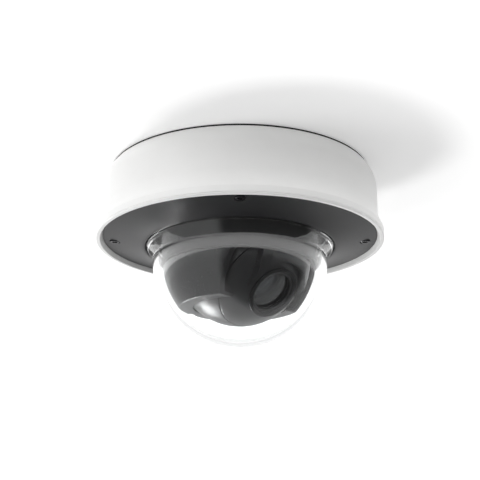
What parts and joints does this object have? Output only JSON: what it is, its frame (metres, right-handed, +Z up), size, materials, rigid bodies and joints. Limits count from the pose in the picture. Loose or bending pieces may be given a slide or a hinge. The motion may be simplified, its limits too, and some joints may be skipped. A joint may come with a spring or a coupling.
{
  "type": "dome cctv camera",
  "caption": "Ceiling dome security camera: round white housing, dark bezel and clear bubble over a lens ball that pans, tilts and rolls.",
  "frame": {"origin": "centre of the ceiling plate's mounting face, on the axis of the housing", "axes": "+Z up into the ceiling along the housing's axis; -Y is the near side in the pose shown; the lens rests 45 degrees from +X towards -Y"},
  "size_m": [0.1662, 0.1662, 0.1031],
  "materials": {
    "white_shell": "fine satin powder coat",
    "white_rim": "satin powder coat",
    "zinc_steel": "zinc plated",
    "dark_foam": "closed-cell foam",
    "black_cover": "fine textured black coat",
    "clear_bubble": "polished clear polycarbonate",
    "black_trim": "fine texture",
    "black_shroud": "satin gloss",
    "black_ball": "satin",
    "black_lens": "black anodised",
    "coated_glass": "coated optical glass",
    "lens_glass": "optical glass",
    "filter_glass": "infrared-blocking coating",
    "black_plastic": "moulded",
    "black_rubber": "matte",
    "aluminium_ring": "plain",
    "dark_screw": "black oxide",
    "steel_screw": "bright",
    "green_board": "solder mask",
    "tin_shield": "tinned shield",
    "terminal_plastic": "moulded",
    "black_aluminium": "black anodised",
    "chip_plastic": "moulded epoxy",
    "capacitor_can": "sleeved can",
    "cream_plastic": "moulded",
    "red_plastic": "moulded",
    "white_acetal": "smooth acetal",
    "spring_steel": "ground",
    "motor_can": "drawn can",
    "brass_gear": "machined"
  },
  "bodies": {
    "base": {"mount_plate": "zinc_steel", "ceiling_gasket": "dark_foam", "housing": "white_shell", "cover_seal": "black_rubber", "cable_gland": "black_rubber", "plate_screws": "steel_screw", "board_screws": "steel_screw", "main_board": "green_board", "network_jack": "tin_shield", "power_terminal": "terminal_plastic", "heat_sink": "black_aluminium", "processor": "chip_plastic", "capacitors": "capacitor_can", "flex_connector": "cream_plastic", "button_case": "chip_plastic", "pan_base": "black_plastic", "pan_base_screws": "steel_screw", "pan_bearing": "white_acetal", "collar": "black_trim"},
    "cover": {"cover_rim": "white_rim", "bezel": "black_cover", "bubble": "clear_bubble", "bubble_gasket": "black_rubber", "clamp_ring": "aluminium_ring", "clamp_screws": "steel_screw", "cover_screws": "dark_screw"},
    "button": {"reset_button": "red_plastic"},
    "pan": {"pan_turntable": "black_plastic", "pan_retainer": "spring_steel", "yoke_arm_left": "black_plastic", "yoke_arm_right": "black_plastic", "tilt_bush_left": "white_acetal", "tilt_bush_right": "white_acetal", "shroud": "black_shroud"},
    "tilt": {"ball_front": "black_ball", "ball_rear": "black_ball", "lens_brow": "black_ball", "roll_bracket": "black_plastic", "tilt_pin_left": "spring_steel", "tilt_pin_right": "spring_steel"},
    "roll": {"module_plate": "black_aluminium", "sensor_holder": "black_plastic", "sensor_board": "green_board", "image_sensor": "chip_plastic", "lens_barrel": "black_lens", "front_glass": "coated_glass", "front_ring": "black_lens", "filter_frame": "black_plastic", "zoom_motor": "motor_can", "focus_motor": "motor_can"},
    "zoom_ring": {"zoom_ring": "black_plastic"},
    "focus_ring": {"focus_ring": "black_plastic"},
    "zoom_pinion": {"zoom_pinion": "brass_gear"},
    "focus_pinion": {"focus_pinion": "brass_gear"},
    "zoom_group": {"zoom_lens_group": "lens_glass"},
    "focus_group": {"focus_lens_group": "lens_glass"},
    "filter": {"filter_pane": "filter_glass"}
  },
  "joints": [
    {"name": "cover_removal", "type": "slide", "parent": "base", "child": "cover", "axis": [0, 0, -1], "range_m": [0, 0.075]},
    {"name": "button_press", "type": "slide", "parent": "base", "child": "button", "axis": [0, 0, 1], "range_m": [0, 0.0008], "stiffness_N_per_m": 1500, "springref_m": -0.0003},
    {"name": "pan_turn", "type": "hinge", "parent": "base", "child": "pan", "pos_m": [0, 0, -0.0527], "axis": [0, 0, 1], "range_deg": [-175, 175]},
    {"name": "tilt_turn", "type": "hinge", "parent": "pan", "child": "tilt", "pos_m": [0, 0, -0.0527], "axis": [0.7071, 0.7071, 0], "range_deg": [-13, 47]},
    {"name": "roll_turn", "type": "hinge", "parent": "tilt", "child": "roll", "pos_m": [0, 0, -0.0527], "axis": [0.5171, -0.5171, -0.682], "range_deg": [-175, 175]},
    {"name": "zoom_ring_turn", "type": "hinge", "parent": "roll", "child": "zoom_ring", "pos_m": [0, 0, -0.0527], "axis": [0.5171, -0.5171, -0.682], "range_deg": [-40, 40]},
    {"name": "focus_ring_turn", "type": "hinge", "parent": "roll", "child": "focus_ring", "pos_m": [0, 0, -0.0527], "axis": [0.5171, -0.5171, -0.682], "range_deg": [-40, 40]},
    {"name": "zoom_pinion_turn", "type": "hinge", "parent": "roll", "child": "zoom_pinion", "pos_m": [0.01819, -0.01819, -0.0515], "axis": [0.5171, -0.5171, -0.682], "range_deg": [-210, 210]},
    {"name": "focus_pinion_turn", "type": "hinge", "parent": "roll", "child": "focus_pinion", "pos_m": [0.00378, -0.00378, -0.08288], "axis": [0.5171, -0.5171, -0.682], "range_deg": [-210, 210]},
    {"name": "zoom_group_slide", "type": "slide", "parent": "roll", "child": "zoom_group", "axis": [0.5171, -0.5171, -0.682], "range_m": [-0.0015, 0.0015]},
    {"name": "focus_group_slide", "type": "slide", "parent": "roll", "child": "focus_group", "axis": [0.5171, -0.5171, -0.682], "range_m": [-0.001, 0.001]},
    {"name": "filter_switch", "type": "slide", "parent": "roll", "child": "filter", "axis": [0.7071, 0.7071, 0], "range_m": [0, 0.0044]}
  ],
  "couplings": [
    {"joint": "zoom_pinion_turn", "follows": "zoom_ring_turn", "ratio": -5.0909},
    {"joint": "focus_pinion_turn", "follows": "focus_ring_turn", "ratio": -5.0909},
    {"joint": "zoom_group_slide", "follows": "zoom_ring_turn", "m_per_rad": 0.002005},
    {"joint": "focus_group_slide", "follows": "focus_ring_turn", "m_per_rad": 0.001289}
  ]
}
